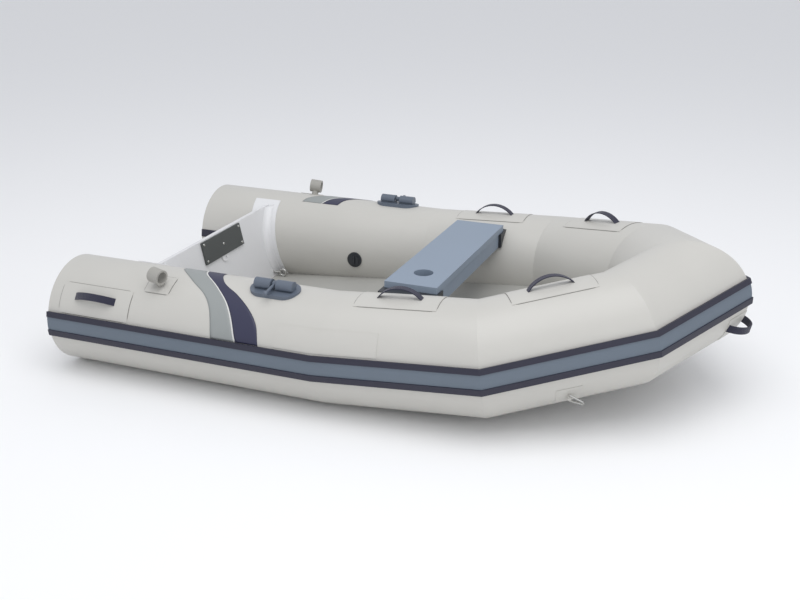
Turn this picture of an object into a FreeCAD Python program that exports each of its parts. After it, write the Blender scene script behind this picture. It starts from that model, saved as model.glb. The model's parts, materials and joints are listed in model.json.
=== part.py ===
# Inflatable tender: one tube of even bore runs from each stern cone to the nose,
# in four straight lengths that meet on mitres, with a raked transom, an inflated
# floor that climbs towards the bow, a bench seat, oarlocks and webbing handles.
# Frame: +X forward, +Y to port, +Z up. Z = 0 is the ground under the tubes and
# X = 0 is halfway along the boat.
import FreeCAD, Part
import Sketcher
import math
import os

os.makedirs("parts", exist_ok=True)
V = FreeCAD.Vector
doc = FreeCAD.newDocument("tender")

# ---------------------------------------------------------------- dimensions
SIZES = {
    # tube run: distances forward of the stern rim, half breadths, sheer rises
    "tube_radius": 206, "wall": 20, "stern_x": -1246, "half_beam": 560,
    "kink_run": 1111, "quarter_run": 1672, "shoulder_run": 2109, "nose_run": 2266,
    "quarter_half": 532, "shoulder_half": 287,
    "quarter_rise": 36, "shoulder_rise": 125, "nose_rise": 170,
    "cap_bulge": 28, "skin_gap": 0.2, "trim_box": 900,
    # rub strake
    "strake_low": -12.4, "strake_high": 13.6, "strake_thick": 7,
    "rib_low": 6.4, "rib_high": 5.6, "rib_thick": 11, "return_run": 250,
    # floor
    "floor_high": 73, "floor_rise": 6.0, "floor_thick": 58, "skin_thick": 3,
    "floor_back": -865, "floor_gap": 0.3,
    # transom
    "board_x": -935, "board_top": 384, "rake": 12.4, "board_thick": 27,
    "board_drop": 384, "flange_thick": 3, "flange_ahead": 62, "flange_behind": 60,
    "flange_top": 112.5, "flange_bottom": 226,
    "pad_wide": 312, "pad_deep": 96, "pad_thick": 9, "pad_down": 5,
    "outer_wide": 400, "outer_deep": 170, "outer_thick": 9, "outer_down": 8,
    "eye_radius": 30, "eye_thick": 5, "eye_bore": 7, "eye_drop": 14,
    # lifting eyes in the transom corners
    "lift_x": -822, "lift_y": 352, "lift_z": 97, "lift_ring": 15, "lift_wire": 4.5,
    # seat
    "seat_back": 2, "seat_wide": 205, "seat_half": 407, "seat_top": 429,
    "seat_thick": 25, "beam_deep": 60, "beam_inset": 5, "beam_half": 398,
    "hole_radius": 37, "hole_y": -272, "bracket_over": 7, "bracket_in": 358,
    "bracket_out": 452, "seat_corner": 8,
    # oarlock
    "lock_run": 898, "lock_angle": 81, "lock_long": 195, "lock_wide": 108,
    "lock_plate": 7, "block_long": 66, "block_gap": 22, "block_radius": 22,
    "block_mid": 19, "waist_wide": 30, "hinge_up": 25, "hinge_radius": 4,
    "hinge_bore": 4.05, "hinge_reach": 23, "collar_radius": 10, "collar_long": 12,
    "rod_radius": 5.5, "rod_long": 74, "knob_radius": 9.5,
    # oar ring
    "ring_run": 448, "ring_angle": 63, "ring_radius": 29, "ring_bore": 22,
    "ring_long": 50, "ring_up": 42, "neck_radius": 15, "ring_yaw": 14,
    "ring_patch_long": 104, "ring_patch_wide": 86,
    # webbing handles
    "web_thick": 3.5, "web_wide": 28, "patch_thick": 1.6,
    "grab_chord": 166, "grab_rise": 40, "grab_patch_long": 304, "grab_patch_arc": 40,
    "aft_grab_run": 272, "aft_grab_angle": 89, "fore_grab_run": 274, "fore_grab_angle": 94,
    "stern_chord": 178, "stern_rise": 34, "stern_run": 203, "stern_angle": 34,
    "stern_patch_low": 15, "stern_patch_high": 48.5, "stern_patch_long": 306,
    "bow_strap_x": 1198, "bow_strap_z": 298, "bow_strap_radius": 76, "bow_strap_dip": 12,
    "bow_patch_low": -43, "bow_patch_high": -12, "bow_patch_run": 335,
    # tow rings
    "tow_run": 250, "tow_angle": -38, "tow_wire": 3, "tow_half": 22, "tow_long": 58,
    "tow_up": 9, "tow_bore": 3.06, "tow_tab": 24, "tow_lean": 38, "tow_patch": 92,
    # valves and plates
    "valve_run": 786, "valve_radius": 34, "valve_thick": 5, "cap_radius": 23,
    "cap_high": 9, "grip_wide": 7, "grip_high": 5, "valve_bed": 8,
    "plate_low": 15.5, "plate_high": 39.4, "plate_start": 967, "plate_end": 242,
    "plate_thick": 1.4,
}
dims = doc.addObject("Spreadsheet::Sheet", "dims")
for row, (word, value) in enumerate(SIZES.items(), 1):
    dims.set("A%d" % row, word)
    dims.set("B%d" % row, str(value))
    dims.setAlias("B%d" % row, word)
doc.recompute()


def size(word):
    """The number a named cell holds."""
    return float(dims.get(word))


def expr(text):
    """Turn the words of a formula into references to the sheet."""
    out = ""
    word = ""
    for ch in text + " ":
        if ch.isalnum() or ch == "_":
            word += ch
            continue
        out += "dims." + word if word in SIZES else word
        word = ""
        out += ch
    return out.strip()


# ---------------------------------------------------------------- tube geometry
R = size("tube_radius")
SIDES = {"starboard": -1, "port": 1}


def vertices(side):
    """Axis points of the tube on one side, from the stern to the nose."""
    x0 = size("stern_x")
    names = ("kink", "quarter", "shoulder", "nose")
    halves = (size("half_beam"), size("quarter_half"), size("shoulder_half"), 0.0)
    rises = (0.0, size("quarter_rise"), size("shoulder_rise"), size("nose_rise"))
    points = [V(x0, side * size("half_beam"), R)]
    for name, half, rise in zip(names, halves, rises):
        points.append(V(x0 + size(name + "_run"), side * half, R + rise))
    return points


def directions(side):
    """Unit directions of the four lengths of tube, stern to nose."""
    pts = vertices(side)
    return [(b - a).normalize() for a, b in zip(pts, pts[1:])]


def across(side, i):
    """Outward level direction and upward direction square to length i."""
    d = directions(side)[i]
    out = V(0, 0, 1).cross(d) * side
    out.normalize()
    up = d.cross(out) * side
    return out, up


def axes(x, y, z, at):
    """Placement whose axes are x, y, z and whose origin is at."""
    m = FreeCAD.Matrix(x.x, y.x, z.x, at.x, x.y, y.y, z.y, at.y, x.z, y.z, z.z, at.z, 0, 0, 0, 1)
    return FreeCAD.Placement(m)


def on_tube(side, i, run, angle, lift=0.0):
    """Seat on the tube: X along it, Z straight out of it, at an angle above level."""
    d = directions(side)[i]
    out, up = across(side, i)
    a = math.radians(angle)
    z = out * math.cos(a) + up * math.sin(a)
    at = vertices(side)[i] + d * run + z * (R + lift)
    return axes(d, z.cross(d), z, at)


def mitre_normal(side, k):
    """Normal of the joint plane at axis point k, pointing forward along the tube."""
    ds = directions(side)
    if k == 4:
        return V(0, -side, 0)
    n = ds[k - 1] + ds[k]
    return n.normalize()


def carried_angle(side, i, angle):
    """Angle in length i of a line that starts at an angle in length 0 and turns no corner
    of its own, so that it meets itself on every mitre."""
    ds = directions(side)
    out, up = across(side, 0)
    a = math.radians(angle)
    u = out * math.cos(a) + up * math.sin(a)
    for k in range(i):
        turn = FreeCAD.Rotation(ds[k], ds[k + 1])
        u = turn.multVec(u)
    out, up = across(side, i)
    return math.degrees(math.atan2(u.dot(up), u.dot(out)))


# ---------------------------------------------------------------- building blocks
def bind(obj, **formulas):
    """Bind properties of an object to formulas of the sheet's words."""
    for prop, text in formulas.items():
        obj.setExpression(prop, expr(text))
    return obj


def prim(kind, name, place, **formulas):
    """A Part primitive with its sizes bound to the sheet."""
    obj = doc.addObject("Part::" + kind, name)
    bind(obj, **formulas)
    obj.Placement = place
    return obj


def cut(name, base, *tools):
    """Base less each tool in turn."""
    for k, tool in enumerate(tools):
        obj = doc.addObject("Part::Cut", name + ("" if k == len(tools) - 1 else "_cut%d" % k))
        obj.Base = base
        obj.Tool = tool
        base = obj
    return base


def fuse(name, *shapes):
    """All shapes as one."""
    obj = doc.addObject("Part::MultiFuse", name)
    obj.Shapes = list(shapes)
    obj.Refine = True
    return obj


def common(name, base, tool):
    """What base and tool share."""
    obj = doc.addObject("Part::Common", name)
    obj.Base = base
    obj.Tool = tool
    return obj


def offset(place, x=0.0, y=0.0, z=0.0):
    """Placement moved along its own axes."""
    return place.multiply(FreeCAD.Placement(V(x, y, z), FreeCAD.Rotation()))


def turned(place, axis, degrees):
    """Placement turned about one of its own axes."""
    return place.multiply(FreeCAD.Placement(V(), FreeCAD.Rotation(axis, degrees)))


LYING_X = FreeCAD.Placement(V(), FreeCAD.Rotation(V(0, 1, 0), 90))
LYING_Y = FreeCAD.Placement(V(), FreeCAD.Rotation(V(1, 0, 0), -90))
PARTS = {}


def node(label, obj, body="hull"):
    """Name a finished sub-part."""
    obj.Label = label
    PARTS[label] = obj
    return obj


# Trimming boxes: each holds everything beyond one joint plane.
def trimmer(side, k, keep_aft):
    n = mitre_normal(side, k)
    if not keep_aft:
        n = n * -1
    x = n.cross(V(0, 0, 1)).normalize()
    y = n.cross(x)
    at = vertices(side)[k] - x * (size("trim_box") / 2) - y * (size("trim_box") / 2)
    name = "trim_%s_%d_%s" % ("p" if side > 0 else "s", k, "fore" if keep_aft else "aft")
    return prim("Box", name, axes(x, y, n, at), Length="trim_box", Width="trim_box",
                Height="trim_box / 2")


TRIM = {}
for word, side in SIDES.items():
    for k in (1, 2, 3, 4):
        TRIM[side, k, True] = trimmer(side, k, True)
        if k < 4:
            TRIM[side, k, False] = trimmer(side, k, False)


def trimmed(name, obj, side, i, start=True, end=True):
    """Cut a shape that follows length i back to the joint planes at its two ends."""
    tools = []
    if i > 0 and start:
        tools.append(TRIM[side, i, False])
    if end:
        tools.append(TRIM[side, i + 1, True])
    return cut(name, obj, *tools)


def run_length(side, i):
    pts = vertices(side)
    return (pts[i + 1] - pts[i]).Length


def along(side, i, run):
    """Placement with Z along length i, starting at a distance along it."""
    d = directions(side)[i]
    out, up = across(side, i)
    return axes(out, d.cross(out), d, vertices(side)[i] + d * run)


def sector(name, side, i, low, high, start, length, inner, outer):
    """Curved strip on length i between two angles above level, from start for a length.
    inner and outer are formulas of its radii."""
    d = directions(side)[i]
    out, up = across(side, i)
    first = math.radians(high if side < 0 else low)
    x = out * math.cos(first) + up * math.sin(first)
    place = axes(x, d.cross(x), d, vertices(side)[i] + d * start)
    shell = doc.addObject("Part::Cylinder", name + "_outer")
    bind(shell, Radius=outer)
    shell.Height = length
    shell.Angle = high - low
    shell.Placement = place
    core = doc.addObject("Part::Cylinder", name + "_inner")
    bind(core, Radius=inner)
    core.Height = length + 20
    core.Placement = offset(place, z=-10)
    return cut(name, shell, core)


# ---------------------------------------------------------------- tubes
EXTRA = 330
LENGTH_NAMES = ("aft", "mid", "shoulder", "bow")
for word, side in SIDES.items():
    for i, part_name in enumerate(LENGTH_NAMES):
        begin = 0 if i == 0 else -EXTRA
        whole = run_length(side, i) + EXTRA - begin
        tag = "%s_%s" % (part_name, word)
        skin = prim("Cylinder", "skin_" + tag, along(side, i, begin), Radius="tube_radius")
        skin.Height = whole
        hollow = prim("Cylinder", "hollow_" + tag, along(side, i, begin - 1),
                      Radius="tube_radius - wall")
        hollow.Height = whole + 2
        pipe = cut("pipe_" + tag, skin, hollow)
        node("tube_" + tag, trimmed("tube_" + tag, pipe, side, i))

# A solid copy of the tubes, a hair larger, cuts whatever lies against them.
def tube_form(side, gap, name):
    pieces = []
    for i, part_name in enumerate(LENGTH_NAMES):
        begin = -60 if i == 0 else -EXTRA
        form = prim("Cylinder", "%s_rod_%d" % (name, i), along(side, i, begin),
                    Radius="tube_radius + " + gap)
        form.Height = run_length(side, i) + EXTRA - begin
        pieces.append(trimmed("%s_length_%d" % (name, i), form, side, i))
    return fuse(name, *pieces)


FORM = {side: tube_form(side, "floor_gap", "form_" + word) for word, side in SIDES.items()}
SEAT = {side: tube_form(side, "skin_gap", "seat_form_" + word) for word, side in SIDES.items()}

# Domed stern caps.
for word, side in SIDES.items():
    bulge = size("cap_bulge")
    ball = prim("Sphere", "ball_" + word, FreeCAD.Placement(),
                Radius="(tube_radius ^ 2 + cap_bulge ^ 2) / (2 * cap_bulge)")
    big = (R ** 2 + bulge ** 2) / (2 * bulge)
    stern = vertices(side)[0]
    ball.Placement = FreeCAD.Placement(stern + V(big - bulge, 0, 0), FreeCAD.Rotation())
    disc = prim("Cylinder", "disc_" + word, axes(V(0, 1, 0), V(0, 0, 1), V(1, 0, 0),
                stern + V(-bulge - 1, 0, 0)), Radius="tube_radius", Height="cap_bulge + 1")
    node("end_cap_" + word, common("end_cap_" + word, disc, ball))

# ---------------------------------------------------------------- rub strake
def strake_piece(name, low, high, inner, outer):
    """A band that follows both tubes from stern to stern and joins at the nose."""
    pieces = []
    for word, side in SIDES.items():
        for i in range(4):
            a = carried_angle(side, i, low)
            b = carried_angle(side, i, high)
            begin = 0 if i == 0 else -EXTRA
            tag = "%s_%s_%d" % (name, word, i)
            band = sector(tag + "_band", side, i, a, b, begin,
                          run_length(side, i) + EXTRA - begin, inner, outer)
            pieces.append(trimmed(tag, band, side, i))
    return fuse(name, *pieces)


low, high = size("strake_low"), size("strake_high")
rib_a, rib_b = size("rib_low"), size("rib_high")
GLUE = "tube_radius + skin_gap"
node("rub_strake", strake_piece("rub_strake", low + rib_a + 0.03, high - rib_b - 0.03, GLUE,
                                "tube_radius + skin_gap + strake_thick"))
node("strake_rib_lower", strake_piece("strake_rib_lower", low, low + rib_a, GLUE,
                                      "tube_radius + skin_gap + rib_thick"))
node("strake_rib_upper", strake_piece("strake_rib_upper", high - rib_b, high, GLUE,
                                      "tube_radius + skin_gap + rib_thick"))
returns = []
for word, side in SIDES.items():
    returns.append(sector("return_" + word, side, 0, 180 - high, 180 - high + rib_b + 4, 0,
                          size("return_run"), GLUE, "tube_radius + skin_gap + 3"))
pair = doc.addObject("Part::Compound", "strake_returns")
pair.Links = returns
node("strake_returns", pair)

# ---------------------------------------------------------------- floor
def polygon_body(name, points, thickness, place):
    """A PartDesign body padded from a closed outline whose corners are formulas."""
    body = doc.addObject("PartDesign::Body", name)
    sketch = body.newObject("Sketcher::SketchObject", name + "_outline")
    plane = [f for f in body.Origin.OriginFeatures if f.Role == "XY_Plane"][0]
    sketch.AttachmentSupport = [(plane, "")]
    sketch.MapMode = "FlatFace"
    spots = [V(formula_value(x), formula_value(y), 0) for x, y in points]
    count = len(spots)
    for k in range(count):
        sketch.addGeometry(Part.LineSegment(spots[k], spots[(k + 1) % count]), False)
    for k in range(count):
        sketch.addConstraint(Sketcher.Constraint("Coincident", k, 2, (k + 1) % count, 1))
    for k, (x, y) in enumerate(points):
        for kind, text, here in (("DistanceX", x, spots[k].x), ("DistanceY", y, spots[k].y)):
            if abs(here) < 1e-9:
                axis = -2 if kind == "DistanceX" else -1
                sketch.addConstraint(Sketcher.Constraint("PointOnObject", k, 1, axis))
                continue
            at = sketch.addConstraint(Sketcher.Constraint(kind, -1, 1, k, 1, here))
            sketch.setExpression("Constraints[%d]" % at, expr(text))
    pad = body.newObject("PartDesign::Pad", name + "_pad")
    pad.Profile = sketch
    bind(pad, Length=thickness)
    body.Tip = pad
    body.Placement = place
    return body


def formula_value(text):
    """Work out a formula of the sheet's words in plain arithmetic."""
    text = str(text)
    sign = 1.0
    total = 0.0
    for piece in text.replace("-", "+-").split("+"):
        piece = piece.strip()
        if not piece:
            continue
        sign = 1.0
        if piece.startswith("-"):
            sign = -1.0
            piece = piece[1:].strip()
        total += sign * (size(piece) if piece in SIZES else float(piece))
    return total


X0, Y0, Z0 = V(1, 0, 0), V(0, 1, 0), V(0, 0, 1)
CORNERS = [("floor_back", "half_beam"), ("stern_x + kink_run", "half_beam"),
           ("stern_x + quarter_run", "quarter_half"), ("stern_x + shoulder_run", "shoulder_half"),
           ("stern_x + nose_run + 25", "0")]
PLAN = [(x, "-" + y) for x, y in CORNERS[:4]] + [CORNERS[4]] + CORNERS[3::-1]
tilt = FreeCAD.Rotation(Y0, -size("floor_rise"))
pivot = V(size("floor_back"), 0, size("floor_high") - size("floor_thick"))


def hung(drop):
    """Placement of the inclined floor plane, lowered square to itself."""
    at = pivot - tilt.multVec(V(size("floor_back"), 0, drop))
    return FreeCAD.Placement(at, tilt)


slab = polygon_body("floor_slab", PLAN, "floor_thick", hung(0))
sheet = polygon_body("skin_sheet", PLAN, "skin_thick", hung(size("skin_thick") + 0.1))

# ---------------------------------------------------------------- transom
rake = FreeCAD.Rotation(Y0, size("rake"))
face = FreeCAD.Placement(V(size("board_x"), 0, size("board_top")), FreeCAD.Rotation(Y0, -size("rake")))


def on_board(half_wide, down, ahead):
    """Placement on the board's forward face: X ahead of it, Z up its slope."""
    return offset(face, ahead, -half_wide, -down)


def board_box(name, wide, deep, thick, down, ahead):
    place = on_board(size(wide) / 2 if wide in SIZES else wide / 2, down, ahead)
    return prim("Box", name, place, Length=thick, Height=deep)


board = board_box("board_blank", 1120, "board_drop", "board_thick", size("board_drop"),
                  -size("board_thick"))
board.Width = 1120
flange_low, flange_high = size("flange_top"), size("flange_bottom")
RIMS = {}
for word, side in SIDES.items():
    wrap = sector("wrap_" + word, side, 0, flange_low, flange_high, 150, 500, GLUE,
                  "tube_radius + skin_gap + flange_thick")
    reach = size("flange_ahead") + size("flange_behind") + size("board_thick")
    rake_box = board_box("rake_" + word, 1400, "board_drop + 120", "flange_ahead + flange_behind",
                         size("board_drop") + 60, -size("flange_behind") - size("board_thick") / 2)
    rake_box.Width = 1400
    RIMS[side] = common("transom_flange_" + word, wrap, rake_box)
    node("transom_flange_" + word, RIMS[side])
# The floor and the bottom skin stop at the board's forward face and at the flanges.
stop = board_box("board_stop", 1400, "board_drop + 60", "board_thick + 0.2", size("board_drop") + 60,
                 -size("board_thick"))
stop.Width = 1400
node("air_floor", cut("air_floor", slab, FORM[-1], FORM[1], stop, RIMS[-1], RIMS[1]))
node("bottom_skin", cut("bottom_skin", sheet, FORM[-1], FORM[1], stop, RIMS[-1], RIMS[1]))
fill = []
for word, side in SIDES.items():
    rod = prim("Cylinder", "board_relief_" + word, along(side, 0, -50),
               Radius="tube_radius + skin_gap + flange_thick + 0.05", Height="kink_run")
    fill.append(rod)
floor_cut = prim("Box", "board_foot", FreeCAD.Placement(V(-1200, -600, -60), FreeCAD.Rotation()))
floor_cut.Length, floor_cut.Width, floor_cut.Height = 600, 1200, 68
node("transom_board", cut("transom_board", board, fill[0], fill[1], floor_cut))
inner = board_box("motor_pad_inner", "pad_wide", "pad_deep", "pad_thick",
                  size("pad_down") + size("pad_deep"), 0.1)
bind(inner, Width="pad_wide")
node("motor_pad_inner", inner)
outer = board_box("motor_pad_outer", "outer_wide", "outer_deep", "outer_thick",
                  size("outer_down") + size("outer_deep"), -size("board_thick") - size("outer_thick") - 0.1)
bind(outer, Width="outer_wide")
node("motor_pad_outer", outer)
eye_at = offset(face, 0.1, 0, -(size("pad_down") + size("pad_deep") + 0.1))
eye_disc = prim("Cylinder", "eye_disc", eye_at.multiply(LYING_X), Radius="eye_radius", Height="eye_thick")
eye_top = prim("Box", "eye_top", offset(eye_at, -5, -60, 0), Height="eye_radius + 5")
eye_top.Length, eye_top.Width = 30, 120
eye_hole = prim("Cylinder", "eye_hole", offset(eye_at, -5, 0, -size("eye_drop")).multiply(LYING_X),
                Radius="eye_bore", Height="eye_thick + 10")
node("safety_eye", cut("safety_eye", eye_disc, eye_top, eye_hole))
rings = []
for word, side in SIDES.items():
    at = V(size("lift_x"), side * size("lift_y"), size("lift_z"))
    hoop = prim("Torus", "lift_hoop_" + word, FreeCAD.Placement(at, FreeCAD.Rotation(X0, 90)),
                Radius1="lift_ring", Radius2="lift_wire")
    stem = prim("Cylinder", "lift_stem_" + word,
                FreeCAD.Placement(at + V(-size("lift_ring"), 0, 0), FreeCAD.Rotation(Y0, -90)),
                Radius="lift_wire")
    stem.Height = 60
    solid = fuse("lift_whole_" + word, hoop, stem)
    rings.append(cut("lift_eye_" + word, solid, board))
eyes = doc.addObject("Part::Compound", "lifting_eyes")
eyes.Links = rings
node("lifting_eyes", eyes)

# ---------------------------------------------------------------- seat
plank = polygon_body("plank", [("seat_back", "-seat_half"), ("seat_back + seat_wide", "-seat_half"),
                     ("seat_back + seat_wide", "seat_half"), ("seat_back", "seat_half")],
                     "seat_thick", FreeCAD.Placement(V(0, 0, size("seat_top") - size("seat_thick")),
                                                     FreeCAD.Rotation()))
under = size("seat_top") - size("seat_thick")
beam = prim("Box", "beam_blank", FreeCAD.Placement(V(size("seat_back") + size("beam_inset"),
            -size("beam_half"), under - size("beam_deep")), FreeCAD.Rotation()),
            Length="seat_wide - 2 * beam_inset", Width="2 * beam_half", Height="beam_deep + 1")
relief = [prim("Cylinder", "beam_relief_" + w, along(s, 1, -40), Radius="tube_radius + 14")
          for w, s in SIDES.items()]
for rod in relief:
    rod.Height = 500
beam_clear = cut("beam", beam, relief[0], relief[1])
hole = prim("Cylinder", "seat_hole", FreeCAD.Placement(V(size("seat_back") + size("seat_wide") / 2,
            size("hole_y"), under - 100), FreeCAD.Rotation()), Radius="hole_radius")
hole.Height = 200
seat_solid = fuse("seat_solid", plank, beam_clear)
node("seat", cut("seat", seat_solid, hole))
for word, side in SIDES.items():
    y = side * size("bracket_in") if side > 0 else -size("bracket_out")
    block = prim("Box", "bracket_blank_" + word, FreeCAD.Placement(V(size("seat_back") -
                 size("bracket_over"), y, under - 60), FreeCAD.Rotation()),
                 Length="seat_wide + 2 * bracket_over", Width="bracket_out - bracket_in")
    block.Height = 59.9
    node("seat_bracket_" + word, cut("seat_bracket_" + word, block, SEAT[side], seat_solid))

# ---------------------------------------------------------------- oarlocks
for word, side in SIDES.items():
    seat = on_tube(side, 0, size("lock_run"), size("lock_angle"))
    half = (size("lock_long") - size("lock_wide")) / 2
    flat = prim("Box", "lock_flat_" + word, offset(seat, -half, -size("lock_wide") / 2, -30),
                Length="lock_long - lock_wide", Width="lock_wide", Height="lock_plate + 30")
    ends = [prim("Cylinder", "lock_end%d_%s" % (k, word), offset(seat, k * half, 0, -30),
                 Radius="lock_wide / 2", Height="lock_plate + 30") for k in (-1, 1)]
    pieces = [flat] + ends
    for k in (-1, 1):
        start = size("block_gap") / 2 if k > 0 else -size("block_gap") / 2 - size("block_long")
        pieces.append(prim("Box", "waist%d_%s" % (k, word), offset(seat, start, -size("waist_wide") / 2, 0),
                           Length="block_long", Width="waist_wide", Height="block_mid + 2"))
        pieces.append(prim("Cylinder", "dome%d_%s" % (k, word), offset(seat, start, 0, size("block_mid"))
                           .multiply(LYING_X), Radius="block_radius", Height="block_long"))
    body = fuse("lock_body_" + word, *pieces)
    core = prim("Cylinder", "lock_core_" + word, along(side, 0, 600), Radius=GLUE, Height="lock_run")
    slots = []
    for k in (-1, 1):
        start = size("block_gap") / 2 if k > 0 else -size("block_gap") / 2 - size("block_long")
        box = prim("Box", "slot%d_%s" % (k, word), offset(seat, start, -30, size("block_mid") - 30),
                   Length="block_long")
        box.Width, box.Height = 60, 25
        keep = prim("Box", "keep%d_%s" % (k, word), offset(seat, start, -size("waist_wide") / 2, -40),
                    Length="block_long", Width="waist_wide")
        keep.Height = 100
        plate_keep = prim("Box", "foot%d_%s" % (k, word), offset(seat, start, -40, -60),
                          Length="block_long", Height="lock_plate + 60")
        plate_keep.Width = 80
        slots.append(cut("slot_ring%d_%s" % (k, word), box, keep, plate_keep))
    bore = prim("Cylinder", "hinge_bore_" + word, offset(seat, -size("hinge_reach") - 1, 0, size("hinge_up"))
                .multiply(LYING_X), Radius="hinge_bore", Height="2 * hinge_reach + 2")
    node("oarlock_base_" + word, cut("oarlock_base_" + word, body, core, slots[0], slots[1], bore))
    hub = offset(seat, 0, 0, size("hinge_up"))
    collar = prim("Cylinder", "collar_" + word, offset(hub, -size("collar_long") / 2).multiply(LYING_X),
                  Radius="collar_radius", Height="collar_long")
    shaft = prim("Cylinder", "hinge_shaft_" + word, offset(hub, -size("hinge_reach")).multiply(LYING_X),
                 Radius="hinge_radius", Height="2 * hinge_reach")
    out = turned(hub, X0, -90 * side)
    rod = prim("Cylinder", "rod_" + word, out, Radius="rod_radius", Height="rod_long")
    knob = prim("Sphere", "knob_" + word, offset(out, z=size("rod_long")), Radius="knob_radius")
    node("oarlock_pin_" + word, fuse("oarlock_pin_" + word, collar, shaft, rod, knob), "pin_" + word)

# ---------------------------------------------------------------- patches, rings, handles
def patch(name, side, i, run, long, low_angle, high_angle, thick="patch_thick"):
    return sector(name, side, i, low_angle, high_angle, run - long / 2, long, GLUE,
                  "tube_radius + skin_gap + " + thick)


def pack_group(label, items):
    group = doc.addObject("Part::Compound", label)
    group.Links = items
    return node(label, group)


ring_patches = []
grab_patches = []
stern_patches = []
tow_patches = []
valves = []
PATCH_TOP = size("skin_gap") + size("patch_thick")


def strap(label, place, chord, rise):
    """Webbing arch over a patch, with its feet on the patch."""
    c, r = size(chord), size(rise)
    radius = (c * c / 4 + r * r) / (2 * r)
    mid = offset(place, 0, size("web_wide") / 2, r - radius)
    formula = "(%s ^ 2 / 4 + %s ^ 2) / (2 * %s)" % (chord, rise, rise)
    big = prim("Cylinder", label + "_over", mid.multiply(FreeCAD.Placement(V(), FreeCAD.Rotation(X0, 90))),
               Radius=formula, Height="web_wide")
    small = prim("Cylinder", label + "_under", offset(mid, 0, 5, 0).multiply(
                 FreeCAD.Placement(V(), FreeCAD.Rotation(X0, 90))),
                 Radius=formula + " - web_thick", Height="web_wide + 10")
    block = prim("Box", label + "_below", offset(place, -300, -50, -600))
    block.Length, block.Width, block.Height = 600, 100, 600
    return node(label, cut(label, big, small, block))


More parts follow.
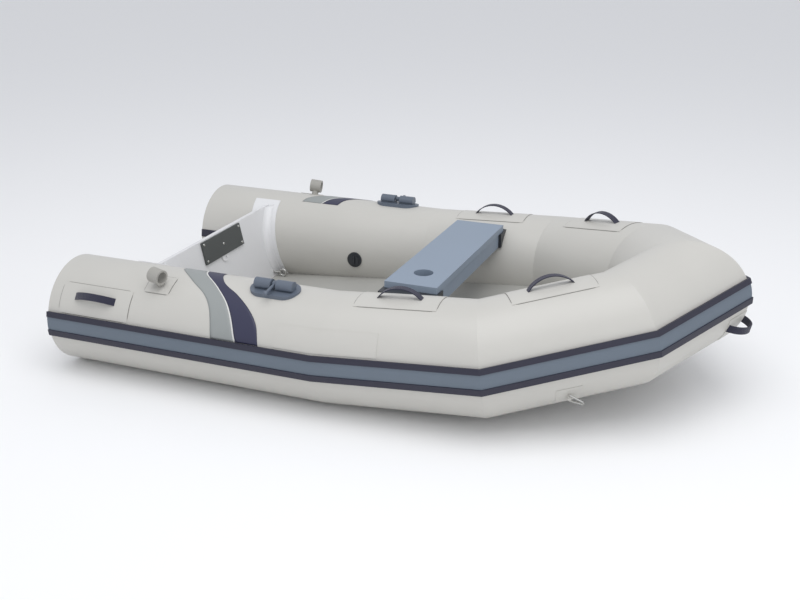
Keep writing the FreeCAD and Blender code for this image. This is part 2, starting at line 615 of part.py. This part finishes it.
for word, side in SIDES.items():
    arc = math.degrees(size("ring_patch_wide") / R)
    ring_patches.append(patch("oar_ring_patch_" + word, side, 0, size("ring_run"),
                              size("ring_patch_long"), size("ring_angle") - arc / 2, size("ring_angle") + arc / 2))
    seat = on_tube(side, 0, size("ring_run"), size("ring_angle"), PATCH_TOP + 0.05)
    centre = turned(offset(seat, z=size("ring_up")), Z0, side * size("ring_yaw"))
    lying = offset(centre, -size("ring_long") / 2).multiply(LYING_X)
    barrel = prim("Cylinder", "barrel_" + word, lying, Radius="ring_radius", Height="ring_long")
    neck = prim("Cylinder", "neck_" + word, offset(seat, z=0), Radius="neck_radius", Height="ring_up - 10")
    mouth = prim("Cylinder", "mouth_" + word, offset(centre, -size("ring_long")).multiply(LYING_X),
                 Radius="ring_bore", Height="2 * ring_long")
    body = fuse("ring_body_" + word, barrel, neck)
    node("oar_ring_" + word, cut("oar_ring_" + word, body, mouth))
    for place_name, i in (("aft", 1), ("fore", 2)):
        run, angle = size(place_name + "_grab_run"), size(place_name + "_grab_angle")
        arc = size("grab_patch_arc") / 2
        grab_patches.append(patch("grab_patch_%s_%s" % (place_name, word), side, i, run,
                                  size("grab_patch_long"), angle - arc, angle + arc))
        strap("grab_strap_%s_%s" % (place_name, word), on_tube(side, i, run, angle, PATCH_TOP + 0.05),
              "grab_chord", "grab_rise")
    stern_patches.append(patch("stern_patch_" + word, side, 0, size("stern_run"),
                               size("stern_patch_long"), size("stern_patch_low"), size("stern_patch_high")))
    strap("stern_strap_" + word, on_tube(side, 0, size("stern_run"), size("stern_angle"),
          PATCH_TOP + 0.05), "stern_chord", "stern_rise")
    # tow ring: its flat side turns in a tab on a round patch
    arc = math.degrees(size("tow_patch") / R) / 2
    base = patch("tow_base_" + word, side, 2, size("tow_run"), size("tow_patch"),
                 size("tow_angle") - arc, size("tow_angle") + arc)
    seat = on_tube(side, 2, size("tow_run"), size("tow_angle"), PATCH_TOP)
    hub = offset(seat, z=size("tow_up"))
    sideways = FreeCAD.Placement(V(), FreeCAD.Rotation(X0, -90))
    tab = prim("Cylinder", "tow_tab_" + word, offset(hub, 0, -size("tow_tab") / 2).multiply(sideways),
               Radius="tow_wire + 3.5", Height="tow_tab")
    foot = prim("Box", "tow_foot_" + word, offset(seat, -6.5, -size("tow_tab") / 2, -0.8),
                Height="tow_up + 0.8", Width="tow_tab")
    foot.Length = 13
    hole = prim("Cylinder", "tow_hole_" + word, offset(hub, 0, -30).multiply(sideways), Radius="tow_bore")
    hole.Height = 60
    whole = fuse("tow_whole_" + word, base, foot, tab)
    tow_patches.append(cut("tow_patch_" + word, whole, hole))
    leaned = turned(hub, Y0, -size("tow_lean"))
    half, deep = size("tow_half"), size("tow_long")
    bar = prim("Cylinder", "tow_bar_" + word, offset(leaned, 0, -half).multiply(sideways),
               Radius="tow_wire", Height="2 * tow_half")
    slim = math.degrees(math.atan2(half - 9, deep - 9))
    wires = [bar]
    reach = math.hypot(half - 9, deep - 9)
    for k in (-1, 1):
        wires.append(prim("Sphere", "tow_corner%d_%s" % (k, word), offset(leaned, 0, k * half), Radius="tow_wire"))
        arm = turned(offset(leaned, 0, k * half), Z0, -k * slim).multiply(LYING_X)
        wires.append(prim("Cylinder", "tow_arm%d_%s" % (k, word), arm, Radius="tow_wire",
                          Height="sqrt((tow_half - 9) ^ 2 + (tow_long - 9) ^ 2)"))
        wires.append(prim("Sphere", "tow_bend%d_%s" % (k, word), offset(leaned, deep - 9, k * 9), Radius="tow_wire"))
    tip = prim("Cylinder", "tow_tip_" + word, offset(leaned, deep - 9, -9).multiply(sideways), Radius="tow_wire")
    tip.Height = 18
    wires.append(tip)
    node("tow_ring_" + word, fuse("tow_ring_" + word, *wires))
    # air valve on the inboard side
    seat = on_tube(side, 0, size("valve_run"), 180, 0)
    disc = prim("Cylinder", "valve_disc_" + word, offset(seat, z=-20), Radius="valve_radius", Height="valve_thick + 20")
    cap = prim("Cylinder", "valve_cap_" + word, offset(seat, z=0), Radius="cap_radius", Height="cap_high")
    grip = prim("Box", "valve_grip_" + word, offset(seat, -size("grip_wide") / 2, -size("cap_radius") + 3, 0),
                Length="grip_wide", Width="2 * cap_radius - 6", Height="cap_high + grip_high")
    core = prim("Cylinder", "valve_core_" + word, along(side, 0, 500), Radius=GLUE, Height="lock_run")
    valves.append(cut("air_valve_" + word, fuse("valve_all_" + word, disc, cap, grip), core))
pack_group("oar_ring_patches", ring_patches)
pack_group("grab_patches", grab_patches)
pack_group("stern_patches", stern_patches)
pack_group("tow_patches", tow_patches)
pack_group("air_valves", valves)

halves = []
for word, side in SIDES.items():
    strip = sector("bow_strip_" + word, side, 3, size("bow_patch_low"), size("bow_patch_high"),
                   size("bow_patch_run"), 200, GLUE, "tube_radius + skin_gap + patch_thick")
    halves.append(trimmed("bow_half_" + word, strip, side, 3, start=False))
node("bow_patch", fuse("bow_patch", *halves))
bow_at = FreeCAD.Placement(V(size("bow_strap_x"), 0, size("bow_strap_z")),
                           FreeCAD.Rotation(Y0, size("bow_strap_dip")))
hoop = prim("Cylinder", "bow_hoop", offset(bow_at, z=-size("web_wide") / 2), Radius="bow_strap_radius",
            Height="web_wide")
eye = prim("Cylinder", "bow_hoop_eye", offset(bow_at, z=-30), Radius="bow_strap_radius - web_thick")
eye.Height = 60
NOSE = {}
for word, side in SIDES.items():
    rod = prim("Cylinder", "nose_rod_" + word, along(side, 3, -EXTRA),
               Radius="tube_radius + skin_gap + patch_thick + 0.05")
    rod.Height = run_length(side, 3) + 2 * EXTRA
    NOSE[side] = trimmed("nose_" + word, rod, side, 3, start=False)
back = prim("Box", "bow_back", offset(bow_at, -300, -200, -100))
back.Length, back.Width, back.Height = 290, 400, 200
node("bow_strap", cut("bow_strap", hoop, eye, NOSE[-1], NOSE[1], back))

plates = []
for word, side in SIDES.items():
    first = sector("plate_a_" + word, side, 0, size("plate_low"), size("plate_high"), size("plate_start"),
                   300, GLUE, "tube_radius + skin_gap + plate_thick")
    second = sector("plate_b_" + word, side, 1, carried_angle(side, 1, size("plate_low")),
                    carried_angle(side, 1, size("plate_high")), -60, size("plate_end") + 60, GLUE,
                    "tube_radius + skin_gap + plate_thick")
    plates.append(fuse("plate_" + word, trimmed("plate_at_" + word, first, side, 0),
                       cut("plate_bt_" + word, second, TRIM[side, 1, False])))
pack_group("name_plates", plates)

# ---------------------------------------------------------------- finish
doc.recompute()
failed = [o.Name for o in doc.Objects if "Invalid" in o.State or "Error" in o.State]
if failed:
    raise RuntimeError("features that failed: %s" % failed)
box = FreeCAD.BoundBox()
for label, obj in PARTS.items():
    shape = obj.Shape
    if shape.isNull() or not shape.isValid() or not shape.Solids:
        raise RuntimeError("bad shape: " + label)
    box.add(shape.BoundBox)
    shape.exportStep(os.path.join("parts", label + ".step"))
    print("%-26s solids %d  volume %.0f cm3" % (label, len(shape.Solids), shape.Volume / 1000))
print("nodes", len(PARTS), "box", box)
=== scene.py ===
# %% [markdown]
# # Inflatable tender
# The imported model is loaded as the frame. Everything below only dresses it: finishes, the
# curved stripes, glue lines, transom fillets and bolts, then a pale floor, light and camera.

# %% Setup
import bpy
import bmesh
import json
import math
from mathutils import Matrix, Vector

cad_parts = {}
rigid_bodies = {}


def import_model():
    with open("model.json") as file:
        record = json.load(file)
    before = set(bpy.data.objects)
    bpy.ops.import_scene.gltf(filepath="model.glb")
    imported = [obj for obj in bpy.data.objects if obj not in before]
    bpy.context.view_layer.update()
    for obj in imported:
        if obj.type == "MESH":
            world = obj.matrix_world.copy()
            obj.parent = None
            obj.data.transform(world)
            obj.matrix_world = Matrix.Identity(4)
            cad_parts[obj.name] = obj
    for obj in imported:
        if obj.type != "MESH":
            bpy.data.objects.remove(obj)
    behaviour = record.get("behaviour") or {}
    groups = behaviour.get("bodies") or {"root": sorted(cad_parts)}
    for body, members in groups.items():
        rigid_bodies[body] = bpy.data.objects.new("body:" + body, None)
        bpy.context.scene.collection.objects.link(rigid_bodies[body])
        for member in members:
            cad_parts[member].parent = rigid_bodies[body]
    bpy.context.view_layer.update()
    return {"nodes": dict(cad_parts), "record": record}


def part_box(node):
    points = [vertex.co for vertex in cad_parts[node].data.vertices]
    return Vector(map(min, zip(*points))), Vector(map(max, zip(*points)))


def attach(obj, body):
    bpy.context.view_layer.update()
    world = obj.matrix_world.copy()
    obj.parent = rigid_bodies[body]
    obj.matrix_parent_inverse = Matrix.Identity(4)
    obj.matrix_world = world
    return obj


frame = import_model()
NODES = frame["nodes"]
TAU = math.tau
print("nodes", len(NODES))


# %% [markdown]
# Shader maths is written as plain expressions. The class wraps one socket and adds a Math
# node for each operator, and the painter makes any other node from its type, settings and
# sockets.

# %% Shader helper
class Sock:
    def __init__(self, painter, socket):
        self.p, self.s = painter, socket

    def _op(self, op, a, b):
        return self.p.node("ShaderNodeMath", {"operation": op}, {0: a, 1: b})[0]

    def __add__(self, o): return self._op("ADD", self, o)
    def __radd__(self, o): return self._op("ADD", o, self)
    def __sub__(self, o): return self._op("SUBTRACT", self, o)
    def __mul__(self, o): return self._op("MULTIPLY", self, o)


class Painter:
    def __init__(self, name):
        self.mat = bpy.data.materials.new(name)
        self.mat.use_nodes = True
        self.tree = self.mat.node_tree
        self.bsdf = next(n for n in self.tree.nodes if n.type == "BSDF_PRINCIPLED")

    def put(self, socket, value):
        if isinstance(value, Sock):
            self.tree.links.new(value.s, socket)
        else:
            socket.default_value = value

    def node(self, kind, settings=None, sockets=None):
        n = self.tree.nodes.new(kind)
        for key, value in (settings or {}).items():
            if key == "stops":
                ramp = n.color_ramp
                for k, (at, colour) in enumerate(value):
                    e = ramp.elements[k] if k < 2 else ramp.elements.new(at)
                    e.position, e.color = at, colour
            else:
                setattr(n, key, value)
        for key, value in (sockets or {}).items():
            self.put(n.inputs[key], value)
        return [Sock(self, o) for o in n.outputs]

    def set(self, **values):
        for key, value in values.items():
            self.put(self.bsdf.inputs[key.replace("_", " ")], value)
        return self


def rgb(text):
    """Linear colour of a six figure screen colour."""
    out = []
    for k in (0, 2, 4):
        c = int(text[k:k + 2], 16) / 255
        out.append(c / 12.92 if c <= 0.04045 else ((c + 0.055) / 1.055) ** 2.4)
    return (out[0], out[1], out[2], 1.0)


# %% [markdown]
# Each finish has a slow change of tone, a fine surface grain and its own gloss. Coated
# fabric shows a faint woven ground under its coat, webbing a strong rib, and mouldings a
# fine spark-eroded grain.

# %% Finishes
def finish(name, colour, rough, grain, depth, spread, coat=0.0, weave=0.0, metal=0.0,
           sheen=0.0):
    p = Painter(name)
    where = p.node("ShaderNodeTexCoord")[3]
    slow = p.node("ShaderNodeTexNoise", {}, {"Vector": where, "Scale": 3.1, "Detail": 3.0})[0]
    fine = p.node("ShaderNodeTexNoise", {}, {"Vector": where, "Scale": grain, "Detail": 2.0})[0]
    dark = tuple(c * (1 - spread) for c in colour[:3]) + (1.0,)
    light = tuple(min(1.0, c * (1 + spread)) for c in colour[:3]) + (1.0,)
    tone = p.node("ShaderNodeValToRGB", {"stops": [(0.3, dark), (0.7, light)]}, {0: slow})[0]
    height = fine
    if weave:
        one, two = [p.node("ShaderNodeTexWave", {"bands_direction": axis},
                           {"Vector": where, "Scale": weave})[1] for axis in "XZ"]
        height = one * 0.5 + two * 0.5 + fine * 0.3
    bump = p.node("ShaderNodeBump", {}, {"Strength": depth, "Distance": 0.001, "Height": height})[0]
    p.set(Base_Color=tone, Roughness=rough + (slow - 0.5) * 0.12, Metallic=metal, Normal=bump)
    p.set(Coat_Weight=coat, Coat_Roughness=0.25, Sheen_Weight=sheen, Sheen_Roughness=0.5)
    return p.mat


# name: screen colour, roughness, grain scale, bump depth, spread of tone, the rest
LOOKS = {
    "hull_fabric": ("c3c1bb", 0.42, 700, 0.06, 0.02, {"coat": 0.12, "weave": 160.0}),
    "strake_blue": ("66717d", 0.55, 900, 0.10, 0.04, {}),
    "navy_rubber": ("262637", 0.48, 900, 0.10, 0.05, {}),
    "floor_fabric": ("a9a8a3", 0.62, 500, 0.12, 0.03, {"weave": 120.0}),
    "white_plastic": ("dededf", 0.38, 1200, 0.02, 0.01, {"coat": 0.2}),
    "grey_plastic": ("4b4e4d", 0.6, 1400, 0.16, 0.04, {}),
    "blue_plastic": ("8794a4", 0.5, 1300, 0.08, 0.02, {}),
    "navy_webbing": ("24243a", 0.75, 600, 0.5, 0.08, {"weave": 420.0, "sheen": 0.2}),
    "steel": ("c9c9c6", 0.22, 800, 0.02, 0.03, {"metal": 1.0}),
    "pale_rubber": ("a09e98", 0.55, 900, 0.12, 0.03, {}),
    "dark_plastic": ("2f3237", 0.45, 1000, 0.08, 0.05, {}),
    "lock_blue": ("5d6673", 0.42, 1100, 0.06, 0.03, {"coat": 0.1}),
    "stripe_grey": ("939796", 0.45, 800, 0.06, 0.02, {}),
    "stripe_navy": ("2f3049", 0.45, 800, 0.06, 0.02, {}),
    "stripe_edge": ("d6d6d2", 0.45, 800, 0.06, 0.02, {}),
    "glue": ("83817c", 0.6, 800, 0.06, 0.02, {}),
    # recess is painted shade: a near-black colour for the insides of recesses, where shade falls.
    "recess": ("26292c", 0.7, 800, 0.06, 0.02, {}),
}
FINISH = {}
for name, (colour, rough, grain, depth, spread, rest) in LOOKS.items():
    FINISH[name] = finish(name, rgb(colour), rough, grain, depth, spread, **rest)
for part in frame["record"]["subparts"]:
    mesh = NODES[part["node"]].data
    mesh.materials.clear()
    mesh.materials.append(FINISH[part["material_slot"]])
print("finishes", len(FINISH))


# %% [markdown]
# The tube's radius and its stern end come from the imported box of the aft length. The other
# corners of its axis are the part's own, typed here as steps from the stern end. Every
# fitting then has a place as a length, a distance along it and an angle above level.

# %% Tube geometry
lo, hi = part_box("tube_aft_starboard")
R = (hi[2] - lo[2]) / 2
STERN = Vector((lo[0], (lo[1] + hi[1]) / 2, (lo[2] + hi[2]) / 2))
KINK = STERN + Vector((1.111, 0, 0))
QUARTER = STERN + Vector((1.672, 0.028, 0.036))
SHOULDER = STERN + Vector((2.109, 0.273, 0.125))
NOSE = Vector((STERN[0] + 2.266, 0, STERN[2] + 0.170))
AXIS = [STERN, KINK, QUARTER, SHOULDER, NOSE]
SIDES = (("starboard", -1), ("port", 1))


def on_tube(side, i, run, angle, lift=0.0):
    """Point on the tube's skin, and its directions along, up round and out."""
    a = [Vector((p.x, -side * p.y, p.z)) for p in AXIS]
    d = (a[i + 1] - a[i]).normalized()
    out = Vector((0, 0, 1)).cross(d).normalized() * side
    up = d.cross(out) * side
    z = out * math.cos(math.radians(angle)) + up * math.sin(math.radians(angle))
    t = up * math.cos(math.radians(angle)) - out * math.sin(math.radians(angle))
    return a[i] + d * run + z * (R + lift), d, t, z


def build(name, verts, faces, material, body="hull"):
    """A smooth mesh piece that rides on a body."""
    me = bpy.data.meshes.new(name)
    me.from_pydata([tuple(v) for v in verts], [], faces)
    me.update()
    bm = bmesh.new()
    bm.from_mesh(me)
    bmesh.ops.remove_doubles(bm, verts=bm.verts, dist=1e-6)
    bmesh.ops.recalc_face_normals(bm, faces=bm.faces)
    bm.to_mesh(me)
    bm.free()
    for poly in me.polygons:
        poly.use_smooth = True
    me.materials.append(FINISH[material])
    ob = bpy.data.objects.new(name, me)
    bpy.context.scene.collection.objects.link(ob)
    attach(ob, body)
    return ob


def count_of(start):
    """How many pieces have a name that starts like this."""
    return sum(o.type == "MESH" and o.name.startswith(start) for o in bpy.data.objects)


def thicken(ob, thickness):
    """Give a sheet a thickness, half to each side."""
    thick = ob.modifiers.new("thickness", "SOLIDIFY")
    thick.thickness = thickness
    thick.offset = 0


def grid(rows, cols):
    """Faces of a sheet of rows by cols, whose points are listed row by row."""
    faces = []
    for r in range(rows):
        for c in range(cols):
            k = r * (cols + 1) + c
            faces.append((k, k + 1, k + cols + 2, k + cols + 1))
    return faces


def spline(points, t):
    """Smooth curve through points (angle, run) read at an angle."""
    last = len(points) - 1
    slopes = []
    for k in range(last + 1):
        (a0, r0), (a1, r1) = points[max(k - 1, 0)], points[min(k + 1, last)]
        slopes.append((r1 - r0) / (a1 - a0))
    for k in range(last):
        (a0, r0), (a1, r1) = points[k], points[k + 1]
        if a0 <= t <= a1:
            w = a1 - a0
            u = (t - a0) / w
            start = (1 + 2 * u) * (1 - u) ** 2 * r0 + u * (1 - u) ** 2 * w * slopes[k]
            return start + u * u * (3 - 2 * u) * r1 + u * u * (u - 1) * w * slopes[k + 1]
    return points[0][1] if t < points[0][0] else points[last][1]


# %% [markdown]
# Two curved stripes sweep from the rub strake over the top of each tube, grey aft and navy
# ahead, with a thin pale line between them. They are thin coloured fabric glued on the skin.

# %% Curved stripes
# Edges as (angle above level, metres from the stern end).
GREY = [(14, 0.714), (32, 0.701), (46, 0.680), (59, 0.640), (74, 0.566), (97, 0.476),
        (108, 0.462)]
LINE = [(14, 0.813), (35.6, 0.784), (52.5, 0.744), (70, 0.678), (92, 0.590), (108, 0.560)]
NAVY = [(14, 0.907), (33.6, 0.889), (48, 0.847), (64, 0.773), (77, 0.700), (93, 0.656),
        (108, 0.640)]
STRIPE_LOW, STRIPE_HIGH = 13.9, 108
STRIPE_LIFT = 0.0011
LINE_HALF = 0.003


def stripe(name, side, edge_a, edge_b, material, shift_a, shift_b):
    """A coloured sheet on the skin between two edges, each shifted along the tube."""
    verts = []
    rows, cols = 48, 8
    for r in range(rows + 1):
        angle = STRIPE_LOW + (STRIPE_HIGH - STRIPE_LOW) * r / rows
        a = spline(edge_a, angle) + shift_a
        b = spline(edge_b, angle) + shift_b
        for c in range(cols + 1):
            verts.append(on_tube(side, 0, a + (b - a) * c / cols, angle, STRIPE_LIFT)[0])
    thicken(build(name, verts, grid(rows, cols), material), 0.0006)


for word, side in SIDES:
    stripe("stripe_grey_" + word, side, GREY, LINE, "stripe_grey", 0, -LINE_HALF)
    stripe("stripe_line_" + word, side, LINE, LINE, "stripe_edge", -LINE_HALF, LINE_HALF)
    stripe("stripe_navy_" + word, side, LINE, NAVY, "stripe_navy", LINE_HALF, 0)
print("stripes", count_of("stripe_"))

# %% [markdown]
# The stern, oar ring and grab strap patches show a line of glue round their edges, about
# two millimetres wide and rounded at the corners.

# %% Glue lines
GLUE_WIDE, GLUE_LIFT = 0.0022, 0.0007
GLUE_STEP = 0.012


def glue_line(name, side, i, start, end, low, high, corner=0.022):
    """A narrow frame round a patch from start to end along a length, between two angles."""
    arc = math.radians(1.0) * R
    half_x, half_y = (end - start) / 2, (high - low) * arc / 2
    verts, faces, loop = [], [], []
    for cx, cy, first in ((1, 1, 0), (-1, 1, 90), (-1, -1, 180), (1, -1, 270)):
        for k in range(7):
            a = math.radians(first + 15 * k)
            for grow in (0.0, GLUE_WIDE):
                x = cx * (half_x - corner) + math.cos(a) * (corner + grow)
                y = cy * (half_y - corner) + math.sin(a) * (corner + grow)
                loop.append((x, y))
    dense = []
    count = len(loop) // 2
    for k in range(count):
        a_in, a_out = loop[2 * k], loop[2 * k + 1]
        b_in, b_out = loop[(2 * k + 2) % len(loop)], loop[(2 * k + 3) % len(loop)]
        gap = math.hypot(b_in[0] - a_in[0], b_in[1] - a_in[1])
        steps = max(1, int(gap / GLUE_STEP))
        for j in range(steps):
            u = j / steps
            dense.append([tuple(p + (q - p) * u for p, q in zip(s, e))
                          for s, e in ((a_in, b_in), (a_out, b_out))])
    for pair in dense:
        for x, y in pair:
            angle = (low + high) / 2 + y / arc
            verts.append(on_tube(side, i, (start + end) / 2 + x, angle, GLUE_LIFT)[0])
    for k in range(len(dense)):
        m = (k + 1) % len(dense)
        faces.append((2 * k, 2 * k + 1, 2 * m + 1, 2 * m))
    thicken(build(name, verts, faces, "glue"), 0.0008)


for word, side in SIDES:
    glue_line("glue_stern_" + word, side, 0, 0.050, 0.356, 15, 48.5)
    glue_line("glue_ring_" + word, side, 0, 0.396, 0.500, 51.04, 74.96, 0.012)
    glue_line("glue_aft_grab_" + word, side, 1, 0.120, 0.424, 69, 109)
    glue_line("glue_fore_grab_" + word, side, 2, 0.122, 0.426, 74, 114)
print("glue lines", count_of("glue_"))

# %% [markdown]
# Hard mouldings get small rounded edges, so that they catch the light.

# %% Rounded edges
for name, width in (("seat", 0.005), ("transom_board", 0.004), ("motor_pad_inner", 0.003),
                    ("motor_pad_outer", 0.003)):
    bevel = NODES[name].modifiers.new("edges", "BEVEL")
    bevel.width = width
    bevel.segments = 3
    bevel.limit_method = "ANGLE"
    bevel.angle_limit = math.radians(40)


# %% [markdown]
# A smooth moulded fillet runs down each side of the transom, where the board turns into the
# flange on the tube, on its forward face.

# %% Transom fillets
RAKE = math.radians(12.4)
AHEAD = Vector((math.cos(RAKE), 0, math.sin(RAKE)))
UPWARD = Vector((-math.sin(RAKE), 0, math.cos(RAKE)))
FILLET_TOP = Vector((-0.935, 0, 0.384))
FILLET_START, FILLET_LONG = 0.004, 0.305
FILLET_LIFT = 0.0002
FLANGE_SKIN = R + 0.0034


def fillet(name, side, radius=0.026, rows=40, cols=8):
    """Concave strip between the board's forward face and the flange on the tube."""
    verts = []
    for r in range(rows + 1):
        spot = FILLET_TOP - UPWARD * (FILLET_START + FILLET_LONG * r / rows)
        for c in range(cols + 1):
            a = math.radians(90 * c / cols)
            p = spot + AHEAD * (radius * (1 - math.cos(a)) + FILLET_LIFT)
            inward = radius * (1 - math.sin(a))
            level = p.z - STERN.z
            reach = math.sqrt(max(FLANGE_SKIN ** 2 - level ** 2, 1e-6))
            y = abs(STERN.y) - reach - inward
            verts.append(Vector((p.x, side * y, p.z)))
    thicken(build(name, verts, grid(rows, cols), "white_plastic"), 0.0008)


for word, side in SIDES:
    fillet("transom_fillet_" + word, side)
print("fillets", count_of("transom_fillet_"))

# %% [markdown]
# Bolt heads on the motor pad: one in each corner and one in the middle.

# %% Pad bolts
pad_lo, pad_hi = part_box("motor_pad_inner")
PAD_HALF = 0.0045
BOLTS = ((-0.143, 0.036), (0.143, 0.036), (-0.143, -0.036), (0.143, -0.036), (0, 0))
PAD = Vector(((pad_lo[0] + pad_hi[0]) / 2, 0, (pad_lo[2] + pad_hi[2]) / 2)) + AHEAD * PAD_HALF


def dome(name, at, out, radius, high, material):
    """A low round head on a face."""
    x = out.orthogonal().normalized()
    y = out.cross(x)
    rings = ((1.0, 0.0), (1.0, 0.35), (0.8, 0.8), (0.35, 1.0))
    verts, faces, count = [], [], 20
    for r, h in rings:
        for k in range(count):
            a = TAU * k / count
            round_by = (x * math.cos(a) + y * math.sin(a)) * radius * r
            verts.append(at + round_by + out * high * h)
    for j in range(len(rings) - 1):
        for k in range(count):
            m = (k + 1) % count
            near, far = j * count, (j + 1) * count
            faces.append((near + k, near + m, far + m, far + k))
    faces.append(tuple((len(rings) - 1) * count + k for k in range(count)))
    faces.append(tuple(range(count))[::-1])
    build(name, verts, faces, material)


for k, (y, z) in enumerate(BOLTS):
    dome("pad_bolt_%d" % k, PAD + Vector((0, y, 0)) + UPWARD * z, AHEAD, 0.006, 0.003, "steel")
print("bolts", count_of("pad_bolt_"))

# %% [markdown]
# A pale studio floor, a large soft light overhead, two weaker ones toward the bow and the
# stern, and an even pale surround that the camera sees as white. The camera looks down a
# little from ahead of the starboard beam.

# %% Stage, light and camera
bpy.ops.object.select_all(action="DESELECT")
bpy.ops.mesh.primitive_grid_add(x_subdivisions=4, y_subdivisions=4, size=60)
ground = bpy.context.active_object
ground.name = "studio_floor"
ground.location.z = -0.0005
paint = Painter("studio_floor")
spot = paint.node("ShaderNodeTexCoord")[3]
cloud = paint.node("ShaderNodeTexNoise", {}, {"Vector": spot, "Scale": 2.0})[0]
paint.set(Base_Color=(0.93, 0.93, 0.93, 1), Roughness=0.8 + cloud * 0.1)
ground.data.materials.append(paint.mat)

world = bpy.data.worlds.new("studio")
bpy.context.scene.world = world
world.use_nodes = True
wt = world.node_tree
back = wt.nodes["Background"]
seen = wt.nodes.new("ShaderNodeBackground")
seen.inputs[0].default_value = (1, 1, 1, 1)
seen.inputs[1].default_value = 1.0
back.inputs[0].default_value = (0.93, 0.95, 1.0, 1)
back.inputs[1].default_value = 0.72
rays = wt.nodes.new("ShaderNodeLightPath")
pick = wt.nodes.new("ShaderNodeMixShader")
wt.links.new(rays.outputs["Is Camera Ray"], pick.inputs[0])
wt.links.new(back.outputs[0], pick.inputs[1])
wt.links.new(seen.outputs[0], pick.inputs[2])
wt.links.new(pick.outputs[0], wt.nodes["World Output"].inputs[0])


def lamp(name, at, aim, wide, power):
    """An area lamp that points at a spot."""
    data = bpy.data.lights.new(name, "AREA")
    data.size = wide
    data.energy = power
    ob = bpy.data.objects.new(name, data)
    ob.location = at
    ob.rotation_euler = (Vector(aim) - Vector(at)).to_track_quat("-Z", "Y").to_euler()
    bpy.context.scene.collection.objects.link(ob)


lamp("key", (0.6, -1.2, 4.6), (0, 0, 0.2), 4.2, 105)
lamp("bow_fill", (5.0, -3.0, 2.2), (0.6, 0, 0.3), 3.0, 34)
lamp("stern_fill", (-4.5, -3.5, 2.4), (-0.6, 0, 0.3), 3.0, 10)

cam = bpy.data.cameras.new("camera")
cam.lens = 50.39
cam.sensor_width = 36
eye = bpy.data.objects.new("camera", cam)
eye.location = (1.491, -3.952, 1.847)
eye.rotation_euler = (math.radians(90 - 21.228), 0, math.radians(21.925))
bpy.context.scene.collection.objects.link(eye)
bpy.context.scene.camera = eye
bpy.context.scene.view_settings.view_transform = "Standard"
